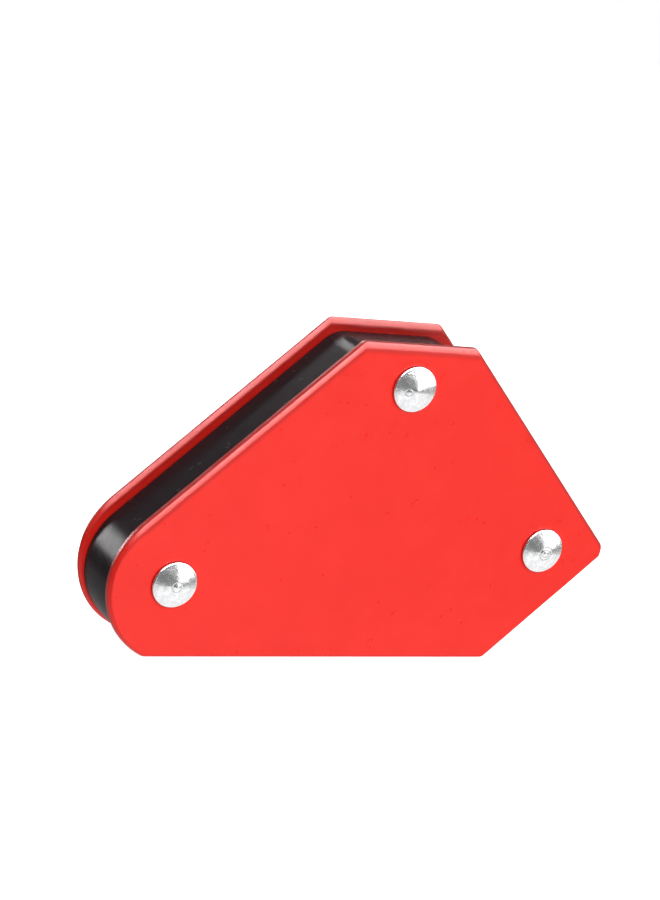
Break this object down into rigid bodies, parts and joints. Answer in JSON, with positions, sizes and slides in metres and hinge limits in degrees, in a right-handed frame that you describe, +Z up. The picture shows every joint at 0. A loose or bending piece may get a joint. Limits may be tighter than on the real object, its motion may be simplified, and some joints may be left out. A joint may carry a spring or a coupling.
{
  "type": "welding magnet holder",
  "caption": "Riveted magnetic welding holder: painted steel side plates over a magnet core, whose flat pole edges hold work square or at 45 or 135 degrees.",
  "frame": {"origin": "bottom centre: midway along the length, midway between the plates, on the plane of the base edges", "axes": "+X along the length towards the pointed end, +Y from the front plate to the rear plate, +Z up from the base edges to the top edges"},
  "size_m": [0.083, 0.0158, 0.05],
  "materials": {
    "red_paint": "gloss",
    "black_plastic": "satin",
    "ferrite": "matte",
    "bright_steel": "gloss"
  },
  "bodies": {
    "root": {"front_side_plate": "red_paint", "rear_side_plate": "red_paint", "core_frame": "black_plastic", "magnet_lower_left": "ferrite", "magnet_lower_right": "ferrite", "magnet_upper": "ferrite", "rivet_left": "bright_steel", "rivet_top": "bright_steel", "rivet_right": "bright_steel"}
  },
  "joints": []
}
